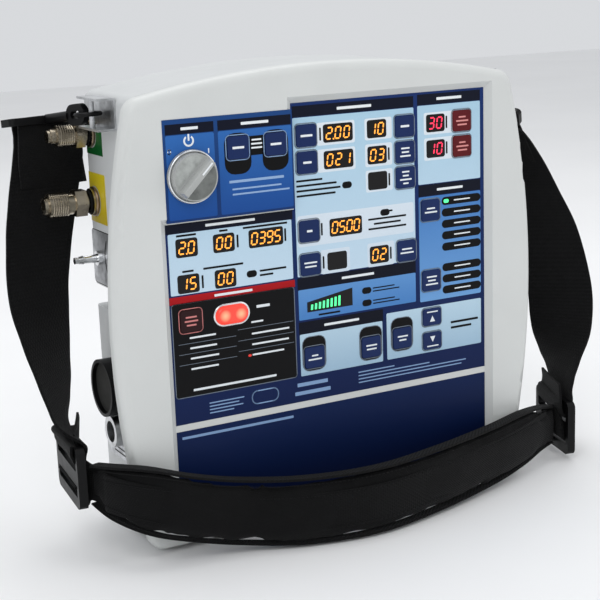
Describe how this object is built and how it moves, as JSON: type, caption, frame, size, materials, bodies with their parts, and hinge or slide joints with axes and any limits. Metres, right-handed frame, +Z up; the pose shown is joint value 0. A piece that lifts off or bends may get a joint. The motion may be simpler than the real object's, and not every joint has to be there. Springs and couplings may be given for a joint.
{
  "type": "mechanical ventilator",
  "caption": "Portable transport ventilator: bowed light case, recessed keypad and numeric displays, power knob, gas ports on one side, padded shoulder strap.",
  "frame": {"origin": "centre of the underside of the rubber base pad the case stands on", "axes": "+Z up; the control panel faces -Y; the gas ports are on the -X side"},
  "size_m": [0.4492, 0.1681, 0.318],
  "materials": {
    "case_plastic": "fine texture, light grey",
    "panel_film": "printed film, navy and pale blue",
    "panel_key": "satin navy",
    "alarm_key": "satin dark red",
    "display_window": "smoked gloss",
    "clear_lens": "gloss",
    "knob_plastic": "satin grey",
    "black_plastic": "matte black",
    "white_plastic": "matte white",
    "black_rubber": "matte black",
    "tube_silicone": "translucent grey",
    "circuit_board": "solder-mask green",
    "screw_steel": "zinc plated",
    "port_aluminium": "satin anodised",
    "port_chrome": "plated",
    "filter_fabric": "pleated dark fibre",
    "strap_webbing": "woven black polyester",
    "pad_fabric": "woven black nylon over foam"
  },
  "bodies": {
    "ventilator": {"air_inlet": "port_chrome", "air_tubes": "tube_silicone", "alarm_lamp": "clear_lens", "base_pad": "black_rubber", "battery_cover": "case_plastic", "battery_pack": "black_plastic", "case_screws": "screw_steel", "control_panel": "panel_film", "digit_displays": "display_window", "display_board": "circuit_board", "fan_frame": "black_plastic", "flow_sensor": "white_plastic", "front_bezel": "case_plastic", "gas_manifold": "port_aluminium", "indicator_lenses": "clear_lens", "intake_filter": "filter_fabric", "intake_port": "black_plastic", "left_webbing": "strap_webbing", "lower_panel": "panel_film", "main_board": "circuit_board", "oxygen_inlet": "port_chrome", "patient_outlet": "port_aluminium", "power_inlet": "black_plastic", "power_switch": "black_plastic", "pressure_port": "port_chrome", "quick_start_panel": "panel_film", "rear_case": "case_plastic", "rear_cover": "case_plastic", "right_webbing": "strap_webbing", "shoulder_pad": "pad_fabric", "snap_hooks": "black_plastic", "solenoid_valves": "screw_steel", "speaker": "black_plastic", "strap_brackets": "port_aluminium", "strap_buckles": "black_plastic", "turbine_housing": "black_plastic", "turbine_motor": "screw_steel"},
    "key_adult": {"key_adult": "panel_key"},
    "key_child": {"key_child": "panel_key"},
    "key_inspiratory_time": {"key_inspiratory_time": "panel_key"},
    "key_oxygen_percent": {"key_oxygen_percent": "panel_key"},
    "key_tidal_volume": {"key_tidal_volume": "panel_key"},
    "key_pressure_support": {"key_pressure_support": "panel_key"},
    "key_breath_rate": {"key_breath_rate": "panel_key"},
    "key_end_pressure": {"key_end_pressure": "panel_key"},
    "key_peak_pressure": {"key_peak_pressure": "panel_key"},
    "key_trigger": {"key_trigger": "panel_key"},
    "key_high_alarm": {"key_high_alarm": "alarm_key"},
    "key_low_alarm": {"key_low_alarm": "alarm_key"},
    "key_mode": {"key_mode": "panel_key"},
    "key_custom_mode": {"key_custom_mode": "panel_key"},
    "key_alarm_silence": {"key_alarm_silence": "alarm_key"},
    "key_oxygen_flush": {"key_oxygen_flush": "panel_key"},
    "key_manual_breath": {"key_manual_breath": "panel_key"},
    "key_control_lock": {"key_control_lock": "panel_key"},
    "key_increase": {"key_increase": "panel_key"},
    "key_decrease": {"key_decrease": "panel_key"},
    "power_knob": {"power_knob": "knob_plastic"},
    "turbine_impeller": {"turbine_impeller": "white_plastic"},
    "fan_rotor": {"fan_rotor": "black_plastic"}
  },
  "joints": [
    {"name": "power_knob_turn", "type": "hinge", "parent": "ventilator", "child": "power_knob", "pos_m": [-0.1064, -0.055, 0.2514], "axis": [0, -1, 0], "range_deg": [0, 90]},
    {"name": "adult_press", "type": "slide", "parent": "ventilator", "child": "key_adult", "axis": [0, 1, 0], "range_m": [0, 0.0006], "stiffness_N_per_m": 800, "springref_m": -0.0003},
    {"name": "child_press", "type": "slide", "parent": "ventilator", "child": "key_child", "axis": [0, 1, 0], "range_m": [0, 0.0006], "stiffness_N_per_m": 800, "springref_m": -0.0003},
    {"name": "inspiratory_time_press", "type": "slide", "parent": "ventilator", "child": "key_inspiratory_time", "axis": [0, 1, 0], "range_m": [0, 0.0006], "stiffness_N_per_m": 800, "springref_m": -0.0003},
    {"name": "oxygen_percent_press", "type": "slide", "parent": "ventilator", "child": "key_oxygen_percent", "axis": [0, 1, 0], "range_m": [0, 0.0006], "stiffness_N_per_m": 800, "springref_m": -0.0003},
    {"name": "tidal_volume_press", "type": "slide", "parent": "ventilator", "child": "key_tidal_volume", "axis": [0, 1, 0], "range_m": [0, 0.0006], "stiffness_N_per_m": 800, "springref_m": -0.0003},
    {"name": "pressure_support_press", "type": "slide", "parent": "ventilator", "child": "key_pressure_support", "axis": [0, 1, 0], "range_m": [0, 0.0006], "stiffness_N_per_m": 800, "springref_m": -0.0003},
    {"name": "breath_rate_press", "type": "slide", "parent": "ventilator", "child": "key_breath_rate", "axis": [0, 1, 0], "range_m": [0, 0.0006], "stiffness_N_per_m": 800, "springref_m": -0.0003},
    {"name": "end_pressure_press", "type": "slide", "parent": "ventilator", "child": "key_end_pressure", "axis": [0, 1, 0], "range_m": [0, 0.0006], "stiffness_N_per_m": 800, "springref_m": -0.0003},
    {"name": "peak_pressure_press", "type": "slide", "parent": "ventilator", "child": "key_peak_pressure", "axis": [0, 1, 0], "range_m": [0, 0.0006], "stiffness_N_per_m": 800, "springref_m": -0.0003},
    {"name": "trigger_press", "type": "slide", "parent": "ventilator", "child": "key_trigger", "axis": [0, 1, 0], "range_m": [0, 0.0006], "stiffness_N_per_m": 800, "springref_m": -0.0003},
    {"name": "high_alarm_press", "type": "slide", "parent": "ventilator", "child": "key_high_alarm", "axis": [0, 1, 0], "range_m": [0, 0.0006], "stiffness_N_per_m": 800, "springref_m": -0.0003},
    {"name": "low_alarm_press", "type": "slide", "parent": "ventilator", "child": "key_low_alarm", "axis": [0, 1, 0], "range_m": [0, 0.0006], "stiffness_N_per_m": 800, "springref_m": -0.0003},
    {"name": "mode_press", "type": "slide", "parent": "ventilator", "child": "key_mode", "axis": [0, 1, 0], "range_m": [0, 0.0006], "stiffness_N_per_m": 800, "springref_m": -0.0003},
    {"name": "custom_mode_press", "type": "slide", "parent": "ventilator", "child": "key_custom_mode", "axis": [0, 1, 0], "range_m": [0, 0.0006], "stiffness_N_per_m": 800, "springref_m": -0.0003},
    {"name": "alarm_silence_press", "type": "slide", "parent": "ventilator", "child": "key_alarm_silence", "axis": [0, 1, 0], "range_m": [0, 0.0006], "stiffness_N_per_m": 800, "springref_m": -0.0003},
    {"name": "oxygen_flush_press", "type": "slide", "parent": "ventilator", "child": "key_oxygen_flush", "axis": [0, 1, 0], "range_m": [0, 0.0006], "stiffness_N_per_m": 800, "springref_m": -0.0003},
    {"name": "manual_breath_press", "type": "slide", "parent": "ventilator", "child": "key_manual_breath", "axis": [0, 1, 0], "range_m": [0, 0.0006], "stiffness_N_per_m": 800, "springref_m": -0.0003},
    {"name": "control_lock_press", "type": "slide", "parent": "ventilator", "child": "key_control_lock", "axis": [0, 1, 0], "range_m": [0, 0.0006], "stiffness_N_per_m": 800, "springref_m": -0.0003},
    {"name": "increase_press", "type": "slide", "parent": "ventilator", "child": "key_increase", "axis": [0, 1, 0], "range_m": [0, 0.0006], "stiffness_N_per_m": 800, "springref_m": -0.0003},
    {"name": "decrease_press", "type": "slide", "parent": "ventilator", "child": "key_decrease", "axis": [0, 1, 0], "range_m": [0, 0.0006], "stiffness_N_per_m": 800, "springref_m": -0.0003},
    {"name": "turbine_spin", "type": "hinge", "parent": "ventilator", "child": "turbine_impeller", "pos_m": [-0.085, 0.003, 0.1045], "axis": [-1, 0, 0], "continuous": true},
    {"name": "fan_spin", "type": "hinge", "parent": "ventilator", "child": "fan_rotor", "pos_m": [0.052, 0.035, 0.222], "axis": [0, 1, 0], "continuous": true}
  ]
}
